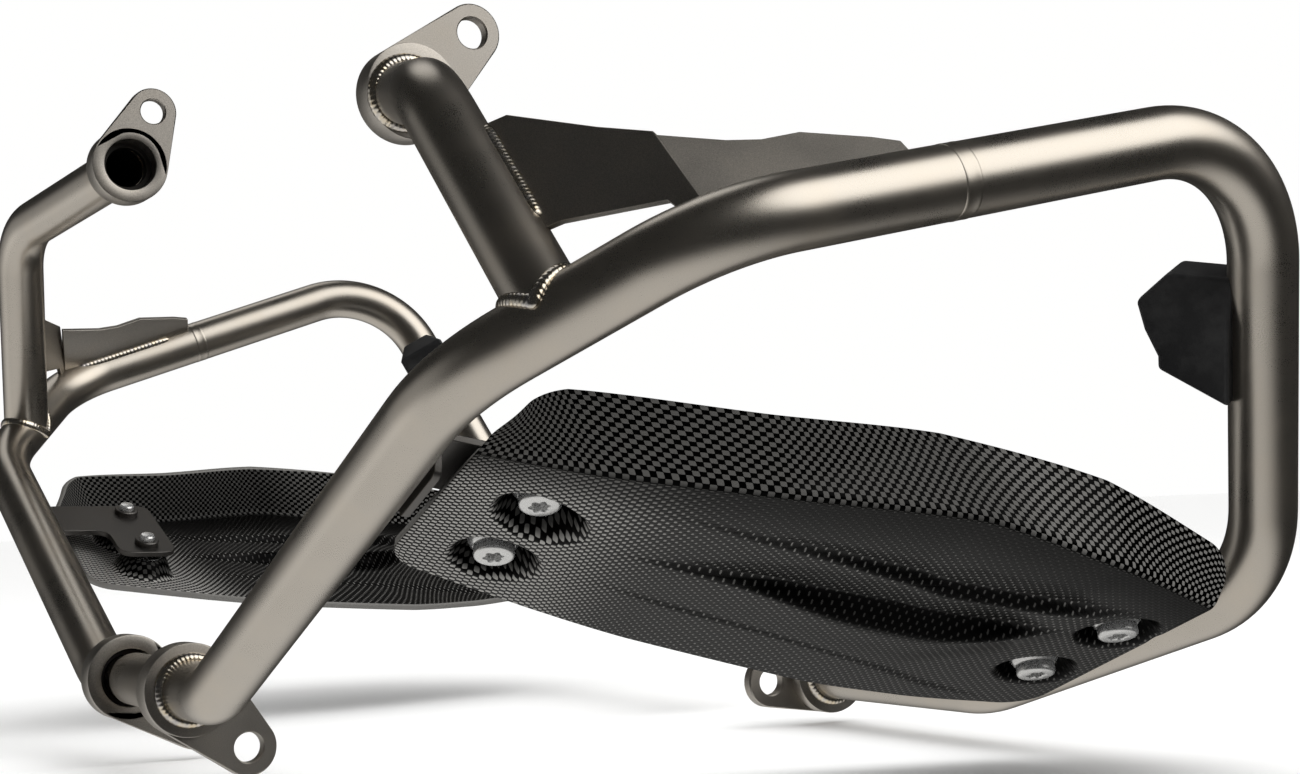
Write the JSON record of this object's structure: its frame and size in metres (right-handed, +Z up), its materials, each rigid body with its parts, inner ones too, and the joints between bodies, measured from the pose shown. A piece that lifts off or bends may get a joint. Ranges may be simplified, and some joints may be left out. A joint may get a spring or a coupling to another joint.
{
  "type": "motorcycle engine guard set",
  "caption": "Bent-tube engine guards for a boxer motorcycle, joined by a cross sleeve, with dished carbon skid plates and rubber bumpers.",
  "frame": {"origin": "middle of the cross sleeve that joins the two halves, on the engine's centre plane", "axes": "+X to the rider's left along the sleeve, +Y to the rear, +Z up"},
  "size_m": [0.8236, 0.3684, 0.3408],
  "materials": {
    "titanium": "bead-blasted titanium, satin",
    "weld": "rippled weld bead",
    "carbon": "clear-coated woven carbon fibre",
    "steel": "turned stainless steel",
    "rubber": "matte moulded rubber"
  },
  "bodies": {
    "left_half": {"left_front_tube": "titanium", "left_rear_tube": "titanium", "left_splice_weld": "weld", "left_upper_strut": "titanium", "left_gusset": "titanium", "left_front_boss": "titanium", "left_upper_boss": "titanium", "left_rear_boss": "titanium", "left_boss_welds": "weld", "left_strut_weld": "weld", "left_front_bracket": "titanium", "left_rear_bracket": "titanium", "left_skid_plate": "carbon", "left_plate_bolts": "steel", "left_plate_washers": "steel", "left_plate_nuts": "steel", "left_bumper": "rubber", "left_bumper_bush": "titanium", "left_bumper_screw": "steel", "cross_sleeve": "titanium"},
    "right_half": {"right_front_tube": "titanium", "right_rear_tube": "titanium", "right_splice_weld": "weld", "right_upper_strut": "titanium", "right_gusset": "titanium", "right_front_boss": "titanium", "right_upper_boss": "titanium", "right_rear_boss": "titanium", "right_boss_welds": "weld", "right_strut_weld": "weld", "right_front_bracket": "titanium", "right_rear_bracket": "titanium", "right_skid_plate": "carbon", "right_plate_bolts": "steel", "right_plate_washers": "steel", "right_plate_nuts": "steel", "right_bumper": "rubber", "right_bumper_bush": "titanium", "right_bumper_screw": "steel"}
  },
  "joints": [
    {"name": "right_half_turn", "type": "hinge", "parent": "left_half", "child": "right_half", "pos_m": [0, 0, 0], "axis": [1, 0, 0], "range_deg": [-20, 20]}
  ]
}
